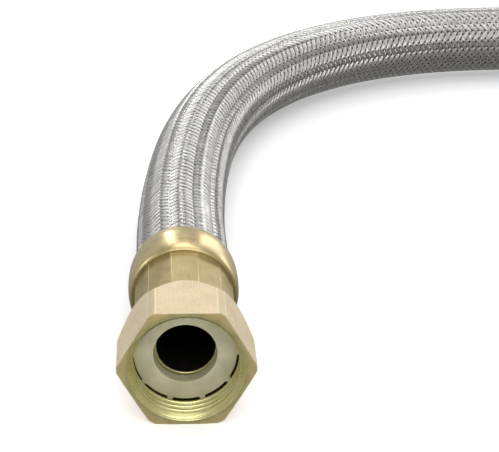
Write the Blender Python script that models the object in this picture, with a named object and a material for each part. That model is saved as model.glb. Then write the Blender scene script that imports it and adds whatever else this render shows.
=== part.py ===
"""Braided water connector, 3/4-14 female swivel nut at each end, 18 inches from mouth to mouth.

Metres, +Z up. The line lies on the plane z = 0, and the origin is under the middle of its two
end fittings. Each end has a swivel nut, a sealing washer, a barbed insert and a crimped ferrule.
A rubber tube inside a steel braid joins them.
Each end is modelled along its own +Y: y = 0 is the nut's open mouth and +Y runs into the hose.
"""
import math

import bmesh
import bpy
from mathutils import Matrix, Vector

# ---- driving dimensions -------------------------------------------------------------------
GAP = 0.0003                 # left between two pieces that touch

NUT_FLATS = 0.0286           # 1 1/8 in across the flats
NUT_CORNER_RADIUS = 0.0020
NUT_LENGTH = 0.0174
THREAD_PITCH = 0.0254 / 14
THREAD_CREST = 0.0122        # radius of the crests in the nut
THREAD_ROOT = 0.0132
THREAD_TURNS = 4
SOCKET_DEPTH = 0.0076        # from the mouth to the washer's face

WASHER_BODY = 0.01185        # radius between the lugs
WASHER_LUG = 0.0129          # radius over the lugs, which catch in the thread's end
WASHER_LUGS = 10
WASHER_LUG_ANGLE = math.radians(6)
WASHER_BORE = 0.0074
WASHER_THICKNESS = 0.0032

NUT_PLAY = 0.0015            # how far a loose nut slides along the insert
INSERT_BORE = 0.0069
INSERT_FLANGE = 0.0126
INSERT_FLANGE_THICKNESS = 0.0019
INSERT_NECK = 0.0094
INSERT_TAIL = 0.0075
INSERT_BARB = 0.0087
INSERT_END = 0.0500

FERRULE_START = 0.0178
FERRULE_WALL = 0.0008
FERRULE_NECK_FLATS = 0.0242  # across the 12 flats that the crimping tool leaves
FERRULE_NECK_TIP = 0.01235   # radius over the corners between those flats
FERRULE_NECK_END = 0.0366
FERRULE_NECK_BORE = 0.0111
FERRULE_BELL = 0.01385
FERRULE_BELL_BORE = 0.01245
FERRULE_END = 0.0520

HOSE_RADIUS = 0.0121         # outside of the steel braid
BRAID_THICKNESS = 0.0006
TUBE_RADIUS = 0.0111
TUBE_WALL = 0.0017
CRIMP_SQUEEZE = 0.89         # hose radius inside the ferrule's neck, as a part of its free radius
CRIMP_LENGTH = 0.0171
SQUEEZE_FADE = 0.0035
HOSE_START = FERRULE_START + FERRULE_WALL + GAP

REACH = Vector((0.2580, 0.2587, 0))    # from the near mouth to the far mouth
AXIS_HEIGHT = NUT_FLATS / 2            # the nuts stand on a flat
HEX_TIP = NUT_FLATS / math.sqrt(3) - NUT_CORNER_RADIUS * (1 / math.cos(math.radians(30)) - 1)
NEAR_MOUTH = Vector((-(REACH.x - HEX_TIP) / 2, -(REACH.y + HEX_TIP) / 2, AXIS_HEIGHT))
FAR_MOUTH = NEAR_MOUTH + REACH

# The hose's centre line, from the near mouth: x and y from the mouth, z above the ground.
# It leaves the ferrule straight, sinks onto the ground and turns a quarter circle to +X.
ROUTE = [
    (0.0000, HOSE_START, AXIS_HEIGHT),
    (0.0000, 0.0360, AXIS_HEIGHT),
    (0.0000, 0.0520, AXIS_HEIGHT),
    (0.0000, 0.0650, 0.0137),
    (0.0000, 0.0790, 0.0127),
    (0.0005, 0.0934, 0.0123),
    (0.0013, 0.1073, 0.0122),
    (0.0026, 0.1213, 0.0122),
    (0.0043, 0.1352, 0.0123),
    (0.0066, 0.1491, 0.0124),
    (0.0097, 0.1627, 0.0125),
    (0.0138, 0.1760, 0.0128),
    (0.0192, 0.1890, 0.0132),
    (0.0259, 0.2012, 0.0136),
    (0.0340, 0.2127, 0.0139),
    (0.0432, 0.2233, 0.0141),
    (0.0536, 0.2326, 0.0142),
    (0.0650, 0.2407, 0.0143),
    (0.0774, 0.2473, 0.0143),
    (0.0905, 0.2523, 0.0143),
    (0.1040, 0.2557, 0.0143),
    (0.1180, 0.2577, 0.0143),
    (0.1330, 0.2585, AXIS_HEIGHT),
    (0.1550, 0.2587, AXIS_HEIGHT),
    (0.1800, 0.2587, AXIS_HEIGHT),
    (REACH.x - FERRULE_END, REACH.y, AXIS_HEIGHT),
    (REACH.x - 0.0360, REACH.y, AXIS_HEIGHT),
    (REACH.x - HOSE_START, REACH.y, AXIS_HEIGHT),
]
HOSE_STEP = 0.020            # distance between the rings of the hose's tubes
HOSE_SIDES_SETTING = 4       # a curve's bevel_resolution of 4 gives 12 sides

TURN_STEPS = 48              # facets round a turned piece


# ---- helpers ------------------------------------------------------------------------------
def clear_scene():
    for item in list(bpy.data.objects):
        bpy.data.objects.remove(item, do_unlink=True)


def material(name, colour, roughness, metallic):
    made = bpy.data.materials.new(name)
    made.use_nodes = True
    shader = made.node_tree.nodes["Principled BSDF"]
    shader.inputs["Base Color"].default_value = (*colour, 1)
    shader.inputs["Roughness"].default_value = roughness
    shader.inputs["Metallic"].default_value = metallic
    return made


def add_object(name, data, finish, parent=None):
    made = bpy.data.objects.new(name, data)
    bpy.context.scene.collection.objects.link(made)
    made.parent = parent
    data.materials.append(finish)
    return made


def mesh_from(build, name):
    """Run build(bm) on an empty bmesh and return the mesh, with its faces pointing out."""
    bm = bmesh.new()
    build(bm)
    bmesh.ops.recalc_face_normals(bm, faces=bm.faces)
    mesh = bpy.data.meshes.new(name)
    bm.to_mesh(mesh)
    bm.free()
    mesh.shade_smooth()
    mesh.set_sharp_from_angle(angle=math.radians(25))
    return mesh


def on_circle(radius, angle, y):
    """A point on a circle round the fitting's axis; angle 0 is +X and 90 degrees is +Z."""
    return Vector((radius * math.cos(angle), y, radius * math.sin(angle)))


def turned(bm, profile, radius_at=None):
    """A closed ring of revolution round +Y. profile lists (radius, y) once round the section.

    radius_at(radius, y, angle) can change a radius with the angle, as flats do."""
    rings = []
    for radius, y in profile:
        ring = []
        for step in range(TURN_STEPS):
            angle = 2 * math.pi * step / TURN_STEPS
            shaped = radius_at(radius, y, angle) if radius_at else radius
            ring.append(bm.verts.new(on_circle(shaped, angle, y)))
        rings.append(ring)
    for this, following in zip(rings, rings[1:] + rings[:1]):
        for step in range(TURN_STEPS):
            after = (step + 1) % TURN_STEPS
            bm.faces.new((this[step], this[after], following[after], following[step]))


def flat_radius(half_flats, sides, angle):
    """Distance from the axis to a regular polygon whose first flat faces +Z."""
    pitch = 2 * math.pi / sides
    offset = (angle - math.pi / 2 + pitch / 2) % pitch - pitch / 2
    return half_flats / math.cos(offset)


# ---- swivel nut ---------------------------------------------------------------------------
def thread_profile():
    """Crests and roots from the washer's end of the thread out to the mouth."""
    crest_half = 0.00015
    points = []
    for turn in range(THREAD_TURNS):
        crest = SOCKET_DEPTH - GAP - crest_half - turn * THREAD_PITCH
        points.append((THREAD_CREST, crest + crest_half))
        points.append((THREAD_CREST, crest - crest_half))
        points.append((THREAD_ROOT, crest - THREAD_PITCH / 2))
    return points[:-1]


def nut_turning(bm):
    seat = SOCKET_DEPTH + WASHER_THICKNESS + GAP + INSERT_FLANGE_THICKNESS
    back_wall = seat + NUT_PLAY + GAP
    neck_hole = INSERT_NECK + 0.0004
    flat = NUT_FLATS / 2
    outside = [
        (0.0134, 0.0),
        (0.0146, 0.0),
        (0.0163, 0.0003),
        (0.0172, 0.0012),
        (0.0172, 0.0098),
        (flat, 0.0169),
        (0.0135, NUT_LENGTH),
        (neck_hole, NUT_LENGTH),
    ]
    socket = [(neck_hole, back_wall), (THREAD_ROOT, back_wall), (THREAD_ROOT, SOCKET_DEPTH)]
    turned(bm, outside + socket + thread_profile())


def hexagon_prism(bm):
    """A hexagonal bar with flats at the top and the bottom and its six edges rounded."""
    corner_steps = 3
    margin = 0.001
    centre_distance = (NUT_FLATS / 2 - NUT_CORNER_RADIUS) / math.cos(math.radians(30))
    outline = []
    for corner in range(6):
        middle = math.radians(60 * corner)
        centre = Vector((centre_distance * math.cos(middle), 0, centre_distance * math.sin(middle)))
        for step in range(corner_steps + 1):
            angle = middle + math.radians(-30 + 60 * step / corner_steps)
            outline.append(centre + on_circle(NUT_CORNER_RADIUS, angle, 0))
    face = bm.faces.new([bm.verts.new(point - Vector((0, margin, 0))) for point in outline])
    grown = bmesh.ops.extrude_face_region(bm, geom=[face])
    moved = [item for item in grown["geom"] if isinstance(item, bmesh.types.BMVert)]
    bmesh.ops.translate(bm, verts=moved, vec=(0, NUT_LENGTH + 2 * margin, 0))


def add_nut(end, parent):
    """The turned body, cut down to the hexagon that the wrench holds."""
    brass = material(f"{end}_nut", (0.80, 0.62, 0.34), 0.38, 1.0)
    nut = add_object(f"{end}_nut", mesh_from(nut_turning, f"{end}_nut"), brass, parent)
    bar = add_object(f"{end}_nut_bar", mesh_from(hexagon_prism, f"{end}_nut_bar"), brass, parent)
    bar.hide_render = True
    bar.display_type = "WIRE"
    cut = nut.modifiers.new("hexagon", "BOOLEAN")
    cut.operation = "INTERSECT"
    cut.object = bar


# ---- sealing washer -----------------------------------------------------------------------
def washer_outline():
    """Outer radius and angle of each point: a lug's two edges, then the arc to the next lug."""
    arc_steps = 4
    pitch = 2 * math.pi / WASHER_LUGS
    arc = pitch - WASHER_LUG_ANGLE
    points = []
    for lug in range(WASHER_LUGS):
        middle = lug * pitch + math.radians(1)
        points.append((WASHER_LUG, middle - WASHER_LUG_ANGLE / 2 * 0.8))
        points.append((WASHER_LUG, middle + WASHER_LUG_ANGLE / 2 * 0.8))
        for step in range(arc_steps + 1):
            points.append((WASHER_BODY, middle + WASHER_LUG_ANGLE / 2 + arc * step / arc_steps))
    return points


def washer_shape(bm):
    front = SOCKET_DEPTH
    back = SOCKET_DEPTH + WASHER_THICKNESS
    rings = [[], [], [], []]
    for radius, angle in washer_outline():
        sections = ((WASHER_BORE, front), (radius, front), (radius, back), (WASHER_BORE, back))
        for ring, (distance, y) in zip(rings, sections):
            ring.append(bm.verts.new(on_circle(distance, angle, y)))
    count = len(rings[0])
    for this, following in zip(rings, rings[1:] + rings[:1]):
        for step in range(count):
            after = (step + 1) % count
            bm.faces.new((this[step], this[after], following[after], following[step]))


def add_washer(end, parent):
    rubber = material(f"{end}_washer", (0.62, 0.62, 0.50), 0.55, 0.0)
    add_object(f"{end}_washer", mesh_from(washer_shape, f"{end}_washer"), rubber, parent)


# ---- barbed insert ------------------------------------------------------------------------
def insert_shape(bm):
    """A flange for the washer, a neck for the nut and a tail with one barb for the tube."""
    front = SOCKET_DEPTH + WASHER_THICKNESS + GAP
    flange_back = front + INSERT_FLANGE_THICKNESS
    neck_end = FERRULE_START + FERRULE_WALL
    barb = 0.0408
    turned(bm, [
        (INSERT_BORE, front),
        (INSERT_FLANGE, front),
        (INSERT_FLANGE, flange_back),
        (INSERT_NECK, flange_back),
        (INSERT_NECK, neck_end),
        (INSERT_TAIL, neck_end),
        (INSERT_TAIL, barb),
        (INSERT_BARB, barb + 0.0006),
        (INSERT_TAIL, INSERT_END),
        (INSERT_BORE, INSERT_END),
    ])


def add_insert(end, parent):
    brass = material(f"{end}_insert", (0.78, 0.66, 0.38), 0.30, 1.0)
    add_object(f"{end}_insert", mesh_from(insert_shape, f"{end}_insert"), brass, parent)


# ---- crimped ferrule ----------------------------------------------------------------------
def ferrule_shape(bm):
    """A neck crimped to 12 flats, then a bell whose rounded end closes on the braid."""
    neck = FERRULE_NECK_TIP
    inner_front = FERRULE_START + FERRULE_WALL
    outside = [
        (INSERT_NECK + GAP, FERRULE_START),
        (neck - 0.0005, FERRULE_START),
        (neck, FERRULE_START + 0.0005),
        (neck, FERRULE_NECK_END),
        (0.0130, FERRULE_NECK_END),
        (0.01345, FERRULE_NECK_END + 0.0008),
        (0.0137, 0.0392),
        (FERRULE_BELL, 0.0420),
        (FERRULE_BELL, 0.0450),
        (0.01365, 0.0475),
        (0.0133, 0.0497),
        (0.01285, 0.0512),
        (FERRULE_BELL_BORE + 0.0001, FERRULE_END),
    ]
    inside = [
        (FERRULE_BELL_BORE, FERRULE_END - 0.0002),
        (FERRULE_BELL_BORE, 0.0388),
        (FERRULE_NECK_BORE, 0.0362),
        (FERRULE_NECK_BORE, inner_front),
        (INSERT_NECK + GAP, inner_front),
    ]

    def flats(radius, y, angle):
        on_neck = y <= FERRULE_NECK_END and radius in (neck, neck - 0.0005)
        if not on_neck:
            return radius
        return min(radius, flat_radius(FERRULE_NECK_FLATS / 2, 12, angle) + radius - neck)

    turned(bm, outside + inside, flats)


def add_ferrule(end, parent):
    brass = material(f"{end}_ferrule", (0.72, 0.60, 0.33), 0.34, 1.0)
    add_object(f"{end}_ferrule", mesh_from(ferrule_shape, f"{end}_ferrule"), brass, parent)


# ---- hose ---------------------------------------------------------------------------------
def route_points():
    offset = Vector((NEAR_MOUTH.x, NEAR_MOUTH.y, 0))
    return [Vector(point) + offset for point in ROUTE]


def smooth(points, steps=16):
    """A Catmull-Rom curve through the points, as closely spaced points."""
    dense = []
    padded = [2 * points[0] - points[1]] + points + [2 * points[-1] - points[-2]]
    for before, start, end, after in zip(padded, padded[1:], padded[2:], padded[3:]):
        span = (end - start).length
        leave = (end - before) * span / (span + (start - before).length)
        arrive = (after - start) * span / (span + (after - end).length)
        for step in range(steps):
            t = step / steps
            dense.append(
                start * (2 * t**3 - 3 * t**2 + 1)
                + leave * (t**3 - 2 * t**2 + t)
                + end * (3 * t**2 - 2 * t**3)
                + arrive * (t**3 - t**2)
            )
    return dense + [points[-1]]


def point_at(dense, distance):
    for start, end in zip(dense, dense[1:]):
        span = (end - start).length
        if distance <= span:
            return start.lerp(end, distance / span)
        distance -= span
    return dense[-1]


def hose_stations(length):
    """Distances along the hose of its rings, each with the share of the free radius there."""
    crimped = CRIMP_LENGTH
    free = CRIMP_LENGTH + SQUEEZE_FADE
    count = round((length - 2 * free) / HOSE_STEP)
    step = (length - 2 * free) / count
    stations = [(0.0, CRIMP_SQUEEZE), (crimped, CRIMP_SQUEEZE)]
    stations += [(free + index * step, 1.0) for index in range(count + 1)]
    stations += [(length - crimped, CRIMP_SQUEEZE), (length, CRIMP_SQUEEZE)]
    return stations


def add_hose_layer(name, radius, wall, finish):
    """One hollow layer of the hose: a bevelled curve on the route, thickened inwards."""
    dense = smooth(route_points())
    length = sum((end - start).length for start, end in zip(dense, dense[1:]))
    stations = hose_stations(length)
    curve = bpy.data.curves.new(name, "CURVE")
    curve.dimensions = "3D"
    curve.bevel_depth = radius
    curve.bevel_resolution = HOSE_SIDES_SETTING
    curve.use_fill_caps = False
    spline = curve.splines.new("POLY")
    spline.points.add(len(stations) - 1)
    for target, (distance, squeeze) in zip(spline.points, stations):
        target.co = (*point_at(dense, distance), 1)
        target.radius = squeeze
    spline.use_smooth = True
    layer = add_object(name, curve, finish)
    skin = layer.modifiers.new("wall", "SOLIDIFY")
    skin.thickness = wall
    skin.offset = -1
    skin.use_even_offset = True
    return layer


# ---- assembly -----------------------------------------------------------------------------
def add_end(end, mouth, turn):
    """One end fitting round an empty on its axis, at the nut's mouth."""
    axis = bpy.data.objects.new(f"{end}_axis", None)
    bpy.context.scene.collection.objects.link(axis)
    axis.matrix_world = Matrix.Translation(mouth) @ Matrix.Rotation(turn, 4, "Z")
    add_nut(end, axis)
    add_washer(end, axis)
    add_insert(end, axis)
    add_ferrule(end, axis)


def main():
    clear_scene()
    add_end("near", NEAR_MOUTH, 0.0)
    add_end("far", FAR_MOUTH, math.pi / 2)
    steel = material("steel_braid", (0.66, 0.65, 0.66), 0.32, 1.0)
    rubber = material("inner_tube", (0.03, 0.03, 0.03), 0.60, 0.0)
    add_hose_layer("steel_braid", HOSE_RADIUS, BRAID_THICKNESS, steel)
    add_hose_layer("inner_tube", TUBE_RADIUS, TUBE_WALL, rubber)


main()
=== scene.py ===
"""Looks of the braided water connector: woven steel, brass fittings, rubber washers, a pale floor."""
import math

import bpy
import numpy as np
from mathutils import Matrix, Vector


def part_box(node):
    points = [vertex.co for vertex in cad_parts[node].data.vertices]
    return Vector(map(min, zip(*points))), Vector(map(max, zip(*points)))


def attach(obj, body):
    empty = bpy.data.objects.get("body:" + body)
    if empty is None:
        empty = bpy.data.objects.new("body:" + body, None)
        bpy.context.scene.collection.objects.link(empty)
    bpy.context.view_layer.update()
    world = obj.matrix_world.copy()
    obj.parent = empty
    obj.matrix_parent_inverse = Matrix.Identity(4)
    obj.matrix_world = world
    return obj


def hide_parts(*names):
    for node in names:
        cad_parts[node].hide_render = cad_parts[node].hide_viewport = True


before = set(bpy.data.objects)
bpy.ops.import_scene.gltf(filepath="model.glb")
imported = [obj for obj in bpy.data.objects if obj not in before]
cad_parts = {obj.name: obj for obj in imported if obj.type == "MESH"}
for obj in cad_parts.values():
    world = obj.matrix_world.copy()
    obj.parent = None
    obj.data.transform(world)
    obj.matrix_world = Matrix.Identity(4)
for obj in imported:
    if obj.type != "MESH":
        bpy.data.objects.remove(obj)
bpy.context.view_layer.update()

# ---- sizes, in metres: the CAD's, apart from finer details and where a comment says so ----
NUT_FLATS = 0.0286
NUT_STRIP_HALF = math.radians(3.59)   # half of the narrow strip at each of the nut's corners
NUT_STRIP = 0.015935                  # from the axis to that strip; the CAD's edge is round
NUT_FACE_EDGE = 0.0146                # where the flat front face turns into its chamfer
NUT_FACE_SLOPE = 0.0003 / 0.0017      # of that chamfer, along the axis over outwards
NUT_LENGTH = 0.0174
NUT_BACK_START = 0.0169               # where the middle of a flat turns into the back's dome
NUT_BACK_SLOPE = 0.0071 / 0.0029      # of the dome where it cuts the corners
NUT_BACK_FACE = 0.0135
NUT_NECK_HOLE = 0.0098
NUT_MOUTH = 0.0134
MOUTH_CHAMFER = 0.00156               # how deep the mouth's chamfer reaches
THREAD_PITCH = 0.0254 / 14
THREAD_GROOVE = 0.32                  # half of a groove's width, as a share of the pitch
THREAD_CREST = 0.0122
THREAD_ROOT = 0.0132
SOCKET_DEPTH = 0.0076

WASHER_BODY = 0.0120                  # 0.15 mm more than in the CAD
WASHER_LUG = 0.0129
WASHER_LUGS = 10
WASHER_LUG_ANGLE = math.radians(6)
WASHER_BORE = 0.0074
WASHER_THICKNESS = 0.0032
WASHER_SHIFT = 0.0002                 # the loose washer lies a little to one side

FLANGE_FRONT = 0.0111
FLANGE_BACK = 0.0130
BACK_WALL = 0.0148
INSERT_BORE = 0.0069
INSERT_FLANGE = 0.0126
INSERT_NECK = 0.0094
INSERT_TAIL = 0.0075
INSERT_BARB = 0.0087
INSERT_END = 0.0500

FERRULE_START = 0.0178
FERRULE_INNER_START = 0.0186
FERRULE_NECK_FLAT = 0.0121            # from the axis to one of the 12 flats
FERRULE_NECK_TIP = 0.01235
FERRULE_NECK_END = 0.0366
FERRULE_NECK_BORE = 0.0111
FERRULE_BELL_BORE = 0.01245
FERRULE_END = 0.0520

HOSE_RADIUS = 0.0121
TUBE_RADIUS = 0.0113                  # 0.2 mm more than in the CAD, close under the wires
TUBE_BORE = 0.0094
CRIMP_SQUEEZE = 0.89
CRIMP_LENGTH = 0.0171
SQUEEZE_FADE = 0.0035
HOSE_START = 0.0189
AXIS_HEIGHT = NUT_FLATS / 2

near_low, near_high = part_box("near_nut")
far_low, far_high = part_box("far_nut")
NEAR_MOUTH = Vector(((near_low.x + near_high.x) / 2, near_low.y, AXIS_HEIGHT))
FAR_MOUTH = Vector((far_high.x, (far_low.y + far_high.y) / 2, AXIS_HEIGHT))
REACH = FAR_MOUTH - NEAR_MOUTH

# The hose's centre line, as the CAD has it: x and y from the near mouth, z above the floor.
ROUTE = [
    (0.0000, HOSE_START, AXIS_HEIGHT),
    (0.0000, 0.0360, AXIS_HEIGHT),
    (0.0000, 0.0520, AXIS_HEIGHT),
    (0.0000, 0.0650, 0.0137),
    (0.0000, 0.0790, 0.0127),
    (0.0005, 0.0934, 0.0123),
    (0.0013, 0.1073, 0.0122),
    (0.0026, 0.1213, 0.0122),
    (0.0043, 0.1352, 0.0123),
    (0.0066, 0.1491, 0.0124),
    (0.0097, 0.1627, 0.0125),
    (0.0138, 0.1760, 0.0128),
    (0.0192, 0.1890, 0.0132),
    (0.0259, 0.2012, 0.0136),
    (0.0340, 0.2127, 0.0139),
    (0.0432, 0.2233, 0.0141),
    (0.0536, 0.2326, 0.0142),
    (0.0650, 0.2407, 0.0143),
    (0.0774, 0.2473, 0.0143),
    (0.0905, 0.2523, 0.0143),
    (0.1040, 0.2557, 0.0143),
    (0.1180, 0.2577, 0.0143),
    (0.1330, 0.2585, AXIS_HEIGHT),
    (0.1550, 0.2587, AXIS_HEIGHT),
    (0.1800, 0.2587, AXIS_HEIGHT),
    (REACH.x - FERRULE_END, REACH.y, AXIS_HEIGHT),
    (REACH.x - 0.0360, REACH.y, AXIS_HEIGHT),
    (REACH.x - HOSE_START, REACH.y, AXIS_HEIGHT),
]


# ---- camera -------------------------------------------------------------------------------
def add_camera():
    """Looks down along the near fitting, from in front of its mouth."""
    down, right, roll = (math.radians(angle) for angle in (23.82, 3.81, 1.16))
    forward = Vector((
        math.sin(right) * math.cos(down),
        math.cos(right) * math.cos(down),
        -math.sin(down),
    ))
    level = Vector((math.cos(right), -math.sin(right), 0))
    up = level.cross(forward)
    across = math.cos(roll) * level + math.sin(roll) * up
    upright = math.cos(roll) * up - math.sin(roll) * level
    turn = Matrix((across, upright, -forward)).transposed().to_4x4()
    place = Vector((NEAR_MOUTH.x - 0.00627, NEAR_MOUTH.y - 0.29686, 0.18106))
    data = bpy.data.cameras.new("camera")
    data.lens = 108.2
    data.sensor_width = 36
    camera = bpy.data.objects.new("camera", data)
    bpy.context.scene.collection.objects.link(camera)
    camera.matrix_world = Matrix.Translation(place) @ turn
    bpy.context.scene.camera = camera


# ---- meshes -------------------------------------------------------------------------------
def make_mesh(name, points, faces, finishes, finish_of=None):
    """A smooth mesh from arrays of points and of four-sided faces, turned to face outwards."""
    corners = points[faces]
    volume = np.einsum(
        "ij,ij->i", corners[:, 0], np.cross(corners[:, 1], corners[:, 2])
    ) + np.einsum("ij,ij->i", corners[:, 0], np.cross(corners[:, 2], corners[:, 3]))
    if volume.sum() < 0:
        faces = faces[:, ::-1]
    mesh = bpy.data.meshes.new(name)
    mesh.from_pydata(points.tolist(), [], faces.tolist())
    for finish in finishes:
        mesh.materials.append(finish)
    if finish_of is not None:
        mesh.polygons.foreach_set("material_index", finish_of.astype(np.int32))
    mesh.shade_smooth()
    return mesh


def grid_faces(rows, columns):
    """Faces of a grid of points that closes on itself both ways; points run row by row."""
    row, column = np.meshgrid(np.arange(rows), np.arange(columns), indexing="ij")
    after_row, after_column = (row + 1) % rows, (column + 1) % columns
    corners = (
        row * columns + column,
        row * columns + after_column,
        after_row * columns + after_column,
        after_row * columns + column,
    )
    return np.stack(corners, axis=-1).reshape(-1, 4)


def turned_mesh(name, angles, outlines, finishes, finish_of=None):
    """A ring round +Y. outlines[angle][point] is (radius, y), once round the section.

    finish_of gives the finish of each stretch between two neighbouring points."""
    radius, y = outlines[..., 0], outlines[..., 1]
    points = np.stack(
        (radius * np.cos(angles)[:, None], y, radius * np.sin(angles)[:, None]), axis=-1
    )
    faces = grid_faces(*radius.shape)
    chosen = None if finish_of is None else np.tile(finish_of, len(angles))
    return make_mesh(name, points.reshape(-1, 3), faces, finishes, chosen)


def sections(angles, corners):
    """The same list of (radius, y) corners at every angle; a radius or y may differ by angle."""
    columns = [
        np.stack([np.broadcast_to(value, angles.shape) for value in corner], axis=-1)
        for corner in corners
    ]
    return np.stack(columns, axis=1).astype(float)


def rounded(outlines, radii, steps=4, rim=0.00005):
    """Rounds the closed outlines' corners and returns them with the old corner of each point."""
    count = outlines.shape[1]
    made, source = [], []
    for corner in range(count):
        here = outlines[:, corner]
        if radii[corner] == 0:
            made.append(here)
            source.append(corner)
            continue
        back = outlines[:, corner - 1] - here
        on = outlines[:, (corner + 1) % count] - here
        back_length = np.linalg.norm(back, axis=1, keepdims=True)
        on_length = np.linalg.norm(on, axis=1, keepdims=True)
        reach = np.minimum(radii[corner], 0.4 * np.minimum(back_length, on_length))
        start = here + back / back_length * reach
        end = here + on / on_length * reach
        support = np.minimum(rim, 0.1 * reach)
        made.append(start + back / back_length * support)
        for step in range(steps + 1):
            t = step / steps
            made.append((1 - t) ** 2 * start + 2 * t * (1 - t) * here + t**2 * end)
        made.append(end + on / on_length * support)
        source += [corner] * (steps + 3)
    return np.stack(made, axis=1), np.array(source)


def soft_minimum(first, second, blend):
    """The smaller of two lengths, with the change from one to the other rounded off."""
    share = np.clip(0.5 + 0.5 * (second - first) / blend, 0, 1)
    return second * (1 - share) + first * share - blend * share * (1 - share)


# ---- node materials -----------------------------------------------------------------------
def add_node(tree, kind, inputs=None, **settings):
    """A shader node; each input is a value or another node's output."""
    made = tree.nodes.new("ShaderNode" + kind)
    for name, value in settings.items():
        setattr(made, name, value)
    for socket, value in (inputs or {}).items():
        if isinstance(value, bpy.types.NodeSocket):
            tree.links.new(value, made.inputs[socket])
        else:
            made.inputs[socket].default_value = value
    return made


def new_finish(name, metallic, **sockets):
    """A material with its Principled shader set, and its node tree."""
    made = bpy.data.materials.new(name)
    made.use_nodes = True
    tree = made.node_tree
    shader = tree.nodes["Principled BSDF"]
    shader.inputs["Metallic"].default_value = metallic
    for socket, value in sockets.items():
        shader.inputs[socket.replace("_", " ")].default_value = value
    return made, tree, shader


def noise(tree, vector, scale, detail=3.0, roughness=0.5):
    inputs = {"Vector": vector, "Scale": scale, "Detail": detail, "Roughness": roughness}
    return add_node(tree, "TexNoise", inputs).outputs["Fac"]


def spread(tree, value, low, high, from_low=0.3, from_high=0.7):
    """Maps a texture's middle range onto low to high."""
    inputs = {"Value": value, "From Min": from_low, "From Max": from_high}
    inputs |= {"To Min": low, "To Max": high}
    return add_node(tree, "MapRange", inputs).outputs["Result"]


def mixed_colour(tree, share, first, second):
    """first where share is 0, second where it is 1; each is a colour or a node's output."""
    first_input, second_input, colour_output = 6, 7, 2
    made = add_node(tree, "Mix", data_type="RGBA")
    tree.links.new(share, made.inputs["Factor"])
    for index, value in ((first_input, first), (second_input, second)):
        if isinstance(value, bpy.types.NodeSocket):
            tree.links.new(value, made.inputs[index])
        else:
            made.inputs[index].default_value = (*value, 1)
    return made.outputs[colour_output]


def math_node(tree, operation, first, second=0.0, third=0.0):
    return add_node(tree, "Math", {0: first, 1: second, 2: third}, operation=operation).outputs[0]


def place_of(tree):
    """Object coordinates; in a fitting's pieces, metres from its mouth, with +Y along its axis."""
    return add_node(tree, "TexCoord").outputs["Object"]


def round_axis(tree, place):
    """Distance from the axis, distance along it, and angle round it."""
    split = add_node(tree, "SeparateXYZ", {0: place})
    x, y, z = (split.outputs[axis] for axis in "XYZ")
    flat = add_node(tree, "CombineXYZ", {"X": x, "Y": z})
    radius = add_node(tree, "VectorMath", {0: flat.outputs[0]}, operation="LENGTH").outputs["Value"]
    return radius, y, math_node(tree, "ARCTAN2", z, x)


def bump(tree, shader, height, distance, strength=1.0):
    made = add_node(tree, "Bump", {"Height": height, "Distance": distance, "Strength": strength})
    tree.links.new(made.outputs["Normal"], shader.inputs["Normal"])


def machined_brass():
    """Bright brass, greener in the thread and tanner on the face, with fine marks round the axis."""
    made, tree, shader = new_finish("machined_brass", 0.82)
    place = place_of(tree)
    radius, along, angle = round_axis(tree, place)
    marks_place = add_node(
        tree,
        "CombineXYZ",
        {
            "X": math_node(tree, "MULTIPLY", radius, 9000.0),
            "Y": math_node(tree, "MULTIPLY", along, 9000.0),
            "Z": math_node(tree, "MULTIPLY", angle, 0.8),
        },
    ).outputs[0]
    marks = noise(tree, marks_place, 1.0, 2.0)
    blotches = noise(tree, place, 260.0, 4.0)
    stain = spread(tree, blotches, 0, 1)
    thread = mixed_colour(tree, stain, (0.59, 0.545, 0.225), (0.76, 0.705, 0.34))
    face = mixed_colour(tree, stain, (0.84, 0.65, 0.27), (0.97, 0.79, 0.38))
    on_face = spread(tree, radius, 0, 1, NUT_MOUTH + 0.0002, NUT_MOUTH + 0.0010)
    colour = mixed_colour(tree, on_face, thread, face)
    marks_and_highlights = mixed_colour(tree, spread(tree, marks, 0, 0.2), colour, (0.90, 0.82, 0.50))
    tree.links.new(marks_and_highlights, shader.inputs["Base Color"])
    polish = spread(tree, blotches, 0.22, 0.34)
    tree.links.new(math_node(tree, "MULTIPLY_ADD", on_face, 0.08, polish), shader.inputs["Roughness"])
    bump(tree, shader, marks, 0.000006, 0.5)
    return made


def bore_painted_shade():
    """The insert's bore, painted near black as the shade deep inside the hole."""
    made, tree, shader = new_finish("bore_painted_shade", 0.3, Specular_IOR_Level=0.2)
    place = place_of(tree)
    stains = noise(tree, place, 420.0, 4.0)
    # painted shade: the near-black colour, mottled by the noise, stands in for the shade deep in the
    # bore
    colour = mixed_colour(
        tree, spread(tree, stains, 0, 1), (0.008, 0.007, 0.006), (0.020, 0.017, 0.010)
    )
    tree.links.new(colour, shader.inputs["Base Color"])
    tree.links.new(spread(tree, stains, 0.45, 0.65), shader.inputs["Roughness"])
    bump(tree, shader, stains, 0.00002, 0.4)
    return made


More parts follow.
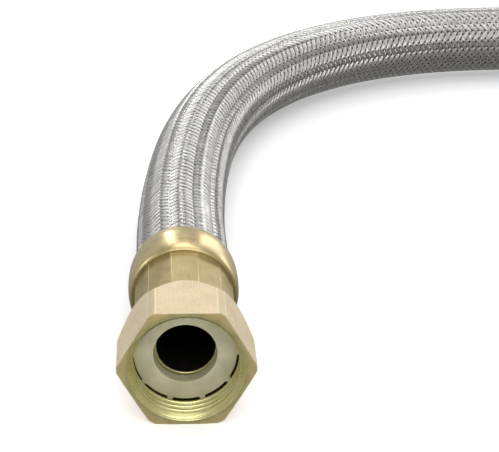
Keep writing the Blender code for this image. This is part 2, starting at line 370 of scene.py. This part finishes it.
def forged_brass():
    """Matte tumbled brass with a fine grain and a warmer, pinkish tone, and a painted highlight along
    each corner edge.
    """
    made, tree, shader = new_finish("forged_brass", 0.45)
    place = place_of(tree)
    grain = noise(tree, place, 2300.0, 3.0, 0.6)
    blotches = noise(tree, place, 190.0, 4.0)
    colour = mixed_colour(
        tree, spread(tree, blotches, 0, 1), (0.58, 0.45, 0.25), (0.70, 0.57, 0.35)
    )
    grained = mixed_colour(tree, spread(tree, grain, 0, 0.7), colour, (0.92, 0.80, 0.60))
    _, _, angle = round_axis(tree, place)
    from_corner = math_node(tree, "PINGPONG", angle, math.pi / 6)
    from_edge = math_node(tree, "ABSOLUTE", math_node(tree, "SUBTRACT", from_corner, NUT_STRIP_HALF))
    # painted highlight: a thin bright line along each edge where a flat meets a corner's strip
    edge = spread(tree, from_edge, 0.7, 0, 0.002, 0.009)
    strip = spread(tree, from_corner, 0.35, 0, NUT_STRIP_HALF - 0.006, NUT_STRIP_HALF)
    toned = mixed_colour(tree, strip, grained, (0.50, 0.43, 0.22))
    marks_and_highlights = mixed_colour(tree, edge, toned, (0.95, 0.88, 0.66))
    tree.links.new(marks_and_highlights, shader.inputs["Base Color"])
    tree.links.new(spread(tree, grain, 0.36, 0.60), shader.inputs["Roughness"])
    bump(tree, shader, grain, 0.0001, 0.9)
    return made


def ferrule_brass():
    """Satin brass with faint drawing lines along the axis and dull stains, and a painted highlight
    along the neck's ridges.
    """
    made, tree, shader = new_finish("ferrule_brass", 1.0)
    place = place_of(tree)
    radius, along, angle = round_axis(tree, place)
    lines_place = add_node(
        tree,
        "CombineXYZ",
        {
            "X": math_node(tree, "MULTIPLY", angle, 70.0),
            "Y": math_node(tree, "MULTIPLY", along, 160.0),
            "Z": math_node(tree, "MULTIPLY", radius, 100.0),
        },
    ).outputs[0]
    lines = noise(tree, lines_place, 1.0, 3.0)
    blotches = noise(tree, place, 230.0, 4.0)
    on_neck = spread(tree, along, 1, 0, FERRULE_NECK_END - 0.0004, FERRULE_NECK_END + 0.0006)
    bell = mixed_colour(tree, spread(tree, blotches, 0, 1), (0.58, 0.46, 0.22), (0.74, 0.61, 0.33))
    neck = mixed_colour(tree, spread(tree, blotches, 0, 1), (0.37, 0.30, 0.13), (0.54, 0.44, 0.22))
    lined = mixed_colour(tree, spread(tree, lines, 0, 0.4), neck, (0.66, 0.55, 0.33))
    half_flat = math.pi / 12
    from_middle = math_node(tree, "PINGPONG", angle, half_flat)
    # painted highlight: bright broken lines along the ridges between the neck's flats
    ridge_highlight = spread(tree, from_middle, 0, 0.9, half_flat - 0.012, half_flat - 0.004)
    broken_ridge_highlight = math_node(tree, "MULTIPLY", ridge_highlight, spread(tree, lines, 0.15, 1, 0.4, 0.6))
    marks_and_highlights = mixed_colour(tree, broken_ridge_highlight, lined, (0.95, 0.88, 0.62))
    tree.links.new(mixed_colour(tree, on_neck, bell, marks_and_highlights), shader.inputs["Base Color"])
    polish = spread(tree, blotches, 0.26, 0.34)
    tree.links.new(math_node(tree, "MULTIPLY_ADD", on_neck, 0.20, polish), shader.inputs["Roughness"])
    bump(tree, shader, lines, 0.00002, 0.5)
    return made


def steel_wire():
    """Bright drawn steel; each wire has its own tone."""
    made, tree, shader = new_finish("steel_wire", 1.0)
    place = place_of(tree)
    tone = add_node(tree, "Attribute", attribute_name="tone").outputs["Fac"]
    dirt = noise(tree, place, 320.0, 4.0)
    colour = mixed_colour(tree, tone, (0.56, 0.55, 0.53), (0.80, 0.78, 0.77))
    dirty = mixed_colour(tree, spread(tree, dirt, 0, 0.25), colour, (0.50, 0.49, 0.45))
    tree.links.new(dirty, shader.inputs["Base Color"])
    scratches = noise(tree, place, 3000.0, 2.0)
    tree.links.new(spread(tree, scratches, 0.16, 0.28), shader.inputs["Roughness"])
    bump(tree, shader, scratches, 0.00001, 0.3)
    return made


def washer_rubber():
    """Cream rubber with a faint mottle and moulding grain."""
    made, tree, shader = new_finish("washer_rubber", 0.0, Specular_IOR_Level=0.4)
    place = place_of(tree)
    mottle = noise(tree, place, 210.0, 4.0)
    grain = noise(tree, place, 2600.0, 3.0)
    colour = mixed_colour(
        tree, spread(tree, mottle, 0, 1), (0.51, 0.48, 0.31), (0.67, 0.64, 0.44)
    )
    tree.links.new(colour, shader.inputs["Base Color"])
    tree.links.new(spread(tree, grain, 0.42, 0.58), shader.inputs["Roughness"])
    bump(tree, shader, grain, 0.00002, 0.5)
    return made


def tube_rubber():
    """Black lining rubber, slightly dusty."""
    made, tree, shader = new_finish("tube_rubber", 0.0)
    place = place_of(tree)
    dust = noise(tree, place, 500.0, 4.0)
    colour = mixed_colour(
        tree, spread(tree, dust, 0, 1), (0.012, 0.012, 0.012), (0.030, 0.029, 0.027)
    )
    tree.links.new(colour, shader.inputs["Base Color"])
    tree.links.new(spread(tree, dust, 0.55, 0.75), shader.inputs["Roughness"])
    bump(tree, shader, dust, 0.00003, 0.4)
    return made


def floor_finish():
    made, tree, shader = new_finish(
        "pale_floor", 0.0, Roughness=0.9, Specular_IOR_Level=0.1, Emission_Strength=0.3
    )
    place = place_of(tree)
    cloud = noise(tree, place, 3.0, 2.0)
    colour = mixed_colour(tree, spread(tree, cloud, 0, 1), (0.90, 0.90, 0.90), (0.94, 0.94, 0.94))
    tree.links.new(colour, shader.inputs["Base Color"])
    return made


# ---- route of the hose --------------------------------------------------------------------
class Route:
    """The hose's smooth centre line, with a frame at any distance along it."""

    def __init__(self, points, spacing=0.00025):
        dense = self.smooth(points)
        along = np.concatenate([[0], np.cumsum(np.linalg.norm(np.diff(dense, axis=0), axis=1))])
        self.length = along[-1]
        self.at = np.linspace(0, self.length, round(self.length / spacing) + 1)
        self.line = np.stack([np.interp(self.at, along, dense[:, k]) for k in range(3)], axis=1)
        self.tangent = np.gradient(self.line, self.at, axis=0)
        self.tangent /= np.linalg.norm(self.tangent, axis=1, keepdims=True)
        self.up = self.carried(np.array((0.0, 0.0, 1.0)))
        self.side = np.cross(self.tangent, self.up)

    @staticmethod
    def smooth(points, steps=16):
        """A Catmull-Rom curve through the points, as the CAD has it."""
        points = np.array(points, float)
        padded = np.vstack((2 * points[0] - points[1], points, 2 * points[-1] - points[-2]))
        t = (np.arange(steps) / steps)[:, None]
        dense = []
        for before, start, end, after in zip(padded, padded[1:], padded[2:], padded[3:]):
            span = np.linalg.norm(end - start)
            leave = (end - before) * span / (span + np.linalg.norm(start - before))
            arrive = (after - start) * span / (span + np.linalg.norm(after - end))
            dense.append(
                start * (2 * t**3 - 3 * t**2 + 1)
                + leave * (t**3 - 2 * t**2 + t)
                + end * (3 * t**2 - 2 * t**3)
                + arrive * (t**3 - t**2)
            )
        return np.vstack(dense + [points[-1:]])

    def carried(self, first):
        """first, carried along the line without turning round it."""
        made = np.empty_like(self.line)
        current = first
        for index, tangent in enumerate(self.tangent):
            current = current - current @ tangent * tangent
            current = current / np.linalg.norm(current)
            made[index] = current
        return made

    def frame(self, distance):
        """Centre, tangent, up and side at each distance."""
        return [
            np.stack([np.interp(distance, self.at, values[:, k]) for k in range(3)], axis=-1)
            for values in (self.line, self.tangent, self.up, self.side)
        ]


def hose_route():
    start = np.array((NEAR_MOUTH.x, NEAR_MOUTH.y, 0))
    return Route([np.array(point) + start for point in ROUTE])


# ---- hose ---------------------------------------------------------------------------------
def tube_squeeze(distance, length):
    """The tube's share of its free radius: less inside the two crimped necks."""
    from_end = np.minimum(distance, length - distance)
    share = np.clip((from_end - CRIMP_LENGTH) / SQUEEZE_FADE, 0, 1)
    return CRIMP_SQUEEZE + (1 - CRIMP_SQUEEZE) * share


def add_inner_tube(route, finish):
    """The hose's rubber lining, which shows between the wires and inside the bore."""
    sides, spacing = 48, 0.002
    along = np.linspace(0, route.length, round(route.length / spacing) + 1)
    squeeze = tube_squeeze(along, route.length)
    along = np.concatenate((along, along[::-1]))
    radius = np.concatenate((TUBE_RADIUS * squeeze, TUBE_BORE * squeeze[::-1]))
    centre, _, up, side = (values[:, None] for values in route.frame(along))
    angle = (2 * np.pi * np.arange(sides) / sides)[None, :, None]
    points = centre + radius[:, None, None] * (np.cos(angle) * up + np.sin(angle) * side)
    faces = grid_faces(len(along), sides)
    mesh = make_mesh("rubber_tube", points.reshape(-1, 3), faces, [finish])
    tube = add_piece("rubber_tube", mesh)
    mesh.set_sharp_from_angle(angle=math.radians(50))
    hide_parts("inner_tube")
    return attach(tube, "hose")


BANDS = 24                            # bands of wires that run each way round the hose
WIRES = 6                             # wires in one band
WIRE_RADIUS = 0.000128
WIRE_SIDES = 6
WEAVE_DEPTH = 0.00013                 # how far a band rises and dips from the middle layer
BAND_CROWN = 0.00006                  # how far a band's outermost wires lie below its middle
WEAVE_MIDDLE = HOSE_RADIUS - WEAVE_DEPTH - WIRE_RADIUS
BAND_SLANT = math.radians(50)         # between a band and the hose's axis
BAND_PITCH = 2 * math.pi / BANDS
WEAVE_STEP = BAND_PITCH / 4           # turn between two points of a wire
WEAVE_PHASE = math.radians(-8.5)      # where a right-hand band is at its highest
BAND_FILL = 0.83                      # a band's width as a share of the room it has
BAND_PINCH = 0.42                     # how much narrower a band is where it dives
BRAID_MARGIN = 0.0022                 # how far the braid reaches into each ferrule
BANDS_IN_PIECE = 4                    # so that no piece is over 200,000 triangles


def weave(angle):
    """1 where the right-hand bands lie on top, -1 where they lie below: over two, under two."""
    steepness = 1.6
    wave = np.cos((angle - WEAVE_PHASE) * BANDS / 2)
    return np.tanh(steepness * wave) / math.tanh(steepness)


def wire_points(route, sense, bands, first, last):
    """Points of the bands' wires: [band, wire, station, corner of the wire's section]."""
    twist = math.tan(BAND_SLANT) / HOSE_RADIUS
    step = WEAVE_STEP / twist
    station = np.arange(math.ceil(first / step), math.floor(last / step) + 1)
    start = WEAVE_PHASE - BAND_PITCH / 4
    band_angle = start + BAND_PITCH * bands[:, None] + sense * WEAVE_STEP * station
    pinch = 1 - BAND_PINCH * (1 - np.abs(weave(band_angle)))
    spacing = BAND_FILL * BAND_PITCH * HOSE_RADIUS * math.cos(BAND_SLANT) / WIRES
    place = (np.arange(WIRES) - (WIRES - 1) / 2)[None, :, None]
    offset = place * spacing * pinch[:, None]
    angle = band_angle[:, None] + offset * math.cos(BAND_SLANT) / WEAVE_MIDDLE
    distance = station * step - sense * offset * math.sin(BAND_SLANT)
    crown = BAND_CROWN * (2 * place / (WIRES - 1)) ** 2
    radius = WEAVE_MIDDLE + sense * WEAVE_DEPTH * weave(angle) - crown
    centre, tangent, up, side = route.frame(distance)
    out = np.cos(angle)[..., None] * up + np.sin(angle)[..., None] * side
    round_it = np.cos(angle)[..., None] * side - np.sin(angle)[..., None] * up
    across = math.cos(BAND_SLANT) * round_it - sense * math.sin(BAND_SLANT) * tangent
    middle = centre + radius[..., None] * out
    turn = (2 * np.pi * np.arange(WIRE_SIDES) / WIRE_SIDES)[:, None]
    ring = np.cos(turn) * out[..., None, :] + np.sin(turn) * across[..., None, :]
    return middle[..., None, :] + WIRE_RADIUS * ring


def wire_faces(wires, stations):
    """Faces of closed six-sided wires whose points run wire by wire, station by station."""
    station, corner = np.meshgrid(np.arange(stations - 1), np.arange(WIRE_SIDES), indexing="ij")
    here, after = station * WIRE_SIDES + corner, station * WIRE_SIDES + (corner + 1) % WIRE_SIDES
    sides = np.stack((here, after, after + WIRE_SIDES, here + WIRE_SIDES), axis=-1).reshape(-1, 4)
    cap = np.array([(0, 1, 2, 3), (0, 3, 4, 5)])
    one = np.vstack((sides, cap[:, ::-1], cap + (stations - 1) * WIRE_SIDES))
    return (one[None] + (np.arange(wires) * stations * WIRE_SIDES)[:, None, None]).reshape(-1, 4)


def add_braid(route, finish):
    """The woven steel sleeve, in pieces of a few bands each."""
    first = FERRULE_END - HOSE_START - BRAID_MARGIN
    last = route.length - first
    tones = np.random.default_rng(5)
    pieces = []
    for way, sense in (("right", 1), ("left", -1)):
        for group in range(BANDS // BANDS_IN_PIECE):
            bands = np.arange(BANDS_IN_PIECE) + group * BANDS_IN_PIECE
            points = wire_points(route, sense, bands, first, last)
            wires, stations = BANDS_IN_PIECE * WIRES, points.shape[2]
            name = f"braid_{way}_{group + 1}"
            mesh = make_mesh(name, points.reshape(-1, 3), wire_faces(wires, stations), [finish])
            tone = np.repeat(tones.random(wires), stations * WIRE_SIDES)
            mesh.attributes.new("tone", "FLOAT", "POINT").data.foreach_set("value", tone)
            piece = add_piece(name, mesh)
            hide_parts("steel_braid")
            pieces.append(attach(piece, "hose"))
    return pieces


def add_hose(steel, rubber):
    route = hose_route()
    tube = add_inner_tube(route, rubber)
    braid = add_braid(route, steel)
    leaves = route.frame(np.array([FERRULE_NECK_END - HOSE_START]))[0][0]


# ---- swivel nut ---------------------------------------------------------------------------
def nut_angles():
    """Angles round the nut, close together where a flat meets a corner's strip."""
    half = np.concatenate((
        np.linspace(0, 2.8, 5)[:-1], np.linspace(2.8, 4.4, 9)[:-1], np.linspace(4.4, 30, 13)
    ))
    corner = np.concatenate((-half[-2:0:-1], half))
    return np.radians((corner[None] + 60 * np.arange(6)[:, None]).ravel())


def nut_radius(angles):
    """Outline of the forging: six flats, and a narrow, slightly crowned strip at each corner."""
    crown, edge = 0.00008, 0.00008
    offset = np.abs((angles + math.pi / 6) % (math.pi / 3) - math.pi / 6)
    flat = NUT_FLATS / 2 / np.cos(math.pi / 6 - offset)
    share = np.minimum(offset / NUT_STRIP_HALF, 1)
    strip = NUT_STRIP / np.cos(offset) + crown * (1 - share**2)
    return soft_minimum(flat, strip, edge)


def thread_outline(angles):
    """The helical thread from the washer's end out to the mouth: flat crests, rounded V grooves."""
    bottom, shoulder, edge = 0.04, 0.30, 0.0001   # how far a groove and the chamfer are rounded
    off_washer, off_mouth = 0.0001, 0.0002        # how far the thread stays from its two ends
    y = np.linspace(SOCKET_DEPTH - off_washer, off_mouth, num=150)
    turns = y[None] / THREAD_PITCH - angles[:, None] / (2 * math.pi)
    from_root = np.hypot(turns % 1 - 0.5, bottom) - bottom
    groove = 1 - soft_minimum(from_root / THREAD_GROOVE, np.ones_like(turns), shoulder)
    radius = THREAD_CREST + (THREAD_ROOT - THREAD_CREST) * groove
    chamfer = NUT_MOUTH - y * (NUT_MOUTH - THREAD_CREST) / MOUTH_CHAMFER
    radius = -soft_minimum(-radius, np.broadcast_to(-chamfer, radius.shape), edge)
    return np.stack((radius, np.broadcast_to(y, radius.shape)), axis=-1)


def nut_mesh(forged, machined):
    angles = nut_angles()
    outer = nut_radius(angles)
    flat = NUT_FLATS / 2
    front_edge = np.maximum(0, outer - NUT_FACE_EDGE) * NUT_FACE_SLOPE
    back_edge = NUT_BACK_START - (outer - flat) * NUT_BACK_SLOPE
    outside = sections(angles, [
        (NUT_MOUTH, 0.0),
        (np.minimum(NUT_FACE_EDGE, outer - 0.0003), 0.0),
        (outer, front_edge),
        (outer, back_edge),
        (flat - 0.0001, NUT_BACK_START),
        (NUT_BACK_FACE, NUT_LENGTH),
        (NUT_NECK_HOLE, NUT_LENGTH),
        (NUT_NECK_HOLE, BACK_WALL),
        (THREAD_ROOT, BACK_WALL),
        (THREAD_ROOT, SOCKET_DEPTH),
    ])
    outline = np.concatenate((outside, thread_outline(angles)), axis=1)
    radii = [0.0003, 0.00025, 0.00022, 0.0005, 0.0003, 0.0003, 0.0002, 0, 0, 0]
    radii += [0] * (outline.shape[1] - len(radii))
    smooth, corner = rounded(outline, radii)
    first_forged, last_forged = 2, 4   # corners; the rest of the nut is machined
    is_forged = (corner >= first_forged) & (corner <= last_forged)
    return turned_mesh("nut", angles, smooth, [machined, forged], is_forged)


# ---- washer, insert and ferrule -----------------------------------------------------------
def washer_mesh(rubber):
    """The washer with its lugs; angles are in degrees until the last step."""
    lug_half = math.degrees(WASHER_LUG_ANGLE) / 2
    pitch = 360 / WASHER_LUGS
    flank = 0.4                        # half of the slanting side of a lug
    first_lug = 1
    bends = [-pitch / 2, -lug_half - flank, -lug_half + flank]
    bends += [-bend for bend in reversed(bends)]
    one = np.concatenate([
        np.linspace(start, end, count)[:-1]
        for start, end, count in zip(bends, bends[1:], (9, 5, 5, 5, 9))
    ])
    offset = np.tile(one, WASHER_LUGS)
    angles = np.radians(offset + np.repeat(np.arange(WASHER_LUGS) * pitch, len(one)) + first_lug)
    on_lug = np.clip((lug_half + flank - np.abs(offset)) / (2 * flank), 0, 1)
    on_lug = on_lug**2 * (3 - 2 * on_lug)
    outer = WASHER_BODY + (WASHER_LUG - WASHER_BODY) * on_lug
    back = SOCKET_DEPTH + WASHER_THICKNESS
    outline = sections(angles, [
        (WASHER_BORE, SOCKET_DEPTH), (outer, SOCKET_DEPTH), (outer, back), (WASHER_BORE, back)
    ])
    smooth, _ = rounded(outline, [0.00022, 0.00025, 0.00022, 0.0002])
    return turned_mesh("washer", angles, smooth, [rubber])


def insert_mesh(brass, bore_shade):
    angles = np.radians(np.arange(0, 360, 3.75))
    barb, barb_rise = 0.0408, 0.0006
    outline = sections(angles, [
        (INSERT_BORE, FLANGE_FRONT),
        (INSERT_FLANGE, FLANGE_FRONT),
        (INSERT_FLANGE, FLANGE_BACK),
        (INSERT_NECK, FLANGE_BACK),
        (INSERT_NECK, FERRULE_INNER_START),
        (INSERT_TAIL, FERRULE_INNER_START),
        (INSERT_TAIL, barb),
        (INSERT_BARB, barb + barb_rise),
        (INSERT_TAIL, INSERT_END),
        (INSERT_BORE, INSERT_END),
    ])
    radii = [0.00035, 0.0002, 0.0002, 0.0003, 0.0001, 0.0001, 0.0002, 0.0002, 0.0001, 0.0001]
    smooth, corner = rounded(outline, radii)
    # the bore's stretch takes the painted-shade finish
    is_shaded_bore = corner == len(radii) - 1
    return turned_mesh("insert", angles, smooth, [brass, bore_shade], is_shaded_bore)


def ferrule_angles():
    """Angles round the ferrule, close together at the 12 ridges between its flats."""
    half = np.concatenate((np.linspace(0, 12, 5)[:-1], np.linspace(12, 15, 11)))
    one = np.concatenate((-half[:0:-1], half[:-1]))
    return np.radians((one[None] + 30 * np.arange(12)[:, None]).ravel())


def neck_radius(angles):
    """The crimped neck: 12 slightly hollow flats with a thin raised line between them."""
    line_height, line_width = 0.00004, math.radians(0.45)
    to_ridge = math.pi / 12 - np.abs((angles + math.pi / 12) % (math.pi / 6) - math.pi / 12)
    share = 1 - to_ridge / (math.pi / 12)
    rise = (FERRULE_NECK_TIP - line_height - FERRULE_NECK_FLAT) * share**2
    return FERRULE_NECK_FLAT + rise + line_height * np.exp(-((to_ridge / line_width) ** 2))


def ferrule_mesh(brass):
    angles = ferrule_angles()
    neck = neck_radius(angles)
    hole = INSERT_NECK + 0.0003
    bell_inside, neck_inside = 0.0388, 0.0362   # ends of the cone between the two bores
    rim = [(0.0130, 0.0366), (0.0134, 0.0370), (0.01363, 0.0380), (0.01378, 0.0395),
           (0.01385, 0.0412), (0.01387, 0.0432), (0.01383, 0.0452), (0.01371, 0.0472),
           (0.01347, 0.0490), (0.01312, 0.0505), (0.0128, 0.0514)]
    outline = sections(angles, [
        (hole, FERRULE_START),
        (neck, FERRULE_START),
        (neck, FERRULE_NECK_END),
        *rim,
        (FERRULE_BELL_BORE + 0.0001, FERRULE_END),
        (FERRULE_BELL_BORE, FERRULE_END - 0.0004),
        (FERRULE_BELL_BORE, bell_inside),
        (FERRULE_NECK_BORE, neck_inside),
        (FERRULE_NECK_BORE, FERRULE_INNER_START),
        (hole, FERRULE_INNER_START),
    ])
    radii = [0.0001, 0.0005, 0.00012, 0.0002] + [0] * (len(rim) - 1)
    radii += [0.0001, 0, 0, 0, 0, 0]
    smooth, _ = rounded(outline, radii)
    return turned_mesh("ferrule", angles, smooth, [brass])


# ---- assembly -----------------------------------------------------------------------------
def add_piece(name, mesh, place=None):
    made = bpy.data.objects.new(name, mesh)
    bpy.context.scene.collection.objects.link(made)
    if place is not None:
        made.matrix_world = place
    return made


def add_ends(machined, forged, satin, cream, bore_shade):
    """Both ends are alike: the far one is turned a quarter to face +X."""
    nut = nut_mesh(forged, machined)
    washer = washer_mesh(cream)
    insert = insert_mesh(machined, bore_shade)
    ferrule = ferrule_mesh(satin)
    places = {
        "near": Matrix.Translation(NEAR_MOUTH),
        "far": Matrix.Translation(FAR_MOUTH) @ Matrix.Rotation(math.pi / 2, 4, "Z"),
    }
    for end, place in places.items():
        loose = place @ Matrix.Translation((-WASHER_SHIFT, 0, 0))
        for kind, mesh, body, slot, seat in (
            ("nut", nut, f"{end}_nut", "nut_brass", place),
            ("washer", washer, f"{end}_washer", "washer_rubber", loose),
            ("insert", insert, "hose", "insert_brass", place),
            ("ferrule", ferrule, "hose", "ferrule_brass", place),
        ):
            piece = add_piece(f"{end}_{kind}_look", mesh, seat)
            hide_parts(f"{end}_{kind}")
            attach(piece, body)


# ---- floor and light ----------------------------------------------------------------------
def add_floor():
    size = 6.0
    mesh = bpy.data.meshes.new("floor")
    mesh.from_pydata(
        [(-size, -size, 0), (size, -size, 0), (size, size, 0), (-size, size, 0)], [], [(0, 1, 2, 3)]
    )
    mesh.materials.append(floor_finish())
    floor = add_piece("floor", mesh)
    floor.visible_glossy = False


def add_world():
    """A studio palest overhead and darkest below the horizon; the camera sees a pale backdrop."""
    world = bpy.data.worlds.new("studio")
    bpy.context.scene.world = world
    world.use_nodes = True
    tree = world.node_tree
    direction = add_node(tree, "TexCoord").outputs["Generated"]
    brightest = (0.0, 0.3, 0.95)
    height = add_node(
        tree, "VectorMath", {0: direction, 1: brightest}, operation="DOT_PRODUCT"
    ).outputs["Value"]
    ramp = add_node(tree, "ValToRGB")
    tree.links.new(spread(tree, height, 0, 1, -1, 1), ramp.inputs["Fac"])
    stops = ((0.0, 0.20), (0.18, 0.22), (0.35, 0.33), (0.50, 0.44), (0.63, 0.55), (1.0, 0.52))
    while len(ramp.color_ramp.elements) < len(stops):
        ramp.color_ramp.elements.new(0.5)
    for element, (position, level) in zip(ramp.color_ramp.elements, stops):
        element.position = position
        element.color = (level, level, level, 1)
    studio = tree.nodes["Background"]
    tree.links.new(ramp.outputs["Color"], studio.inputs["Color"])
    backdrop = add_node(tree, "Background", {"Color": (0.95, 0.95, 0.95, 1)})
    seen = add_node(tree, "LightPath").outputs["Is Camera Ray"]
    joined = add_node(tree, "MixShader", {0: seen})
    tree.links.new(studio.outputs[0], joined.inputs[1])
    tree.links.new(backdrop.outputs[0], joined.inputs[2])
    tree.links.new(joined.outputs[0], tree.nodes["World Output"].inputs["Surface"])


def light_from(name, turn, height, distance, size, radiance):
    """A softbox round the object: turn is clockwise from +Y, height above the horizon, in degrees."""
    turn, height = math.radians(turn), math.radians(height)
    level = math.cos(height)
    way = Vector((math.sin(turn) * level, math.cos(turn) * level, math.sin(height)))
    data = bpy.data.lights.new(name, "AREA")
    data.shape = "RECTANGLE"
    data.size, data.size_y = size
    data.energy = radiance * math.pi * size[0] * size[1]
    light = bpy.data.objects.new(name, data)
    bpy.context.scene.collection.objects.link(light)
    light.location = way * distance
    light.rotation_mode = "QUATERNION"
    light.rotation_quaternion = (-way).to_track_quat("-Z", "Y")


def add_lights():
    """Boxes and strips that give the bright bands on hose, bell and nut, and fills for the mouth."""
    light_from("canopy", 180, 76, 1.3, (1.1, 0.95), 0.9)
    light_from("back_high", 0, 65, 1.3, (0.8, 0.40), 2.0)
    light_from("bell_back", -6, 47, 1.3, (0.46, 0.30), 2.3)
    light_from("left_side", -84, 24, 1.5, (0.5, 0.5), 2.6)
    light_from("strip_left", -16, 21, 1.6, (0.12, 0.45), 8.0)
    light_from("strip_middle", 16.5, 19, 1.6, (0.16, 0.45), 3.5)
    light_from("strip_right", 22, 9, 1.6, (0.16, 0.45), 3.0)
    light_from("bell_right", 34, 7, 1.6, (0.24, 0.36), 2.6)
    light_from("right_box", 52, 9, 1.5, (0.45, 0.45), 2.4)
    light_from("front_fill", 180, 44, 1.5, (1.2, 0.40), 3.6)


def main():
    bpy.context.scene.view_settings.view_transform = "Standard"
    add_camera()
    add_hose(steel_wire(), tube_rubber())
    add_ends(machined_brass(), forged_brass(), ferrule_brass(), washer_rubber(), bore_painted_shade())
    add_floor()
    add_world()
    add_lights()


main()
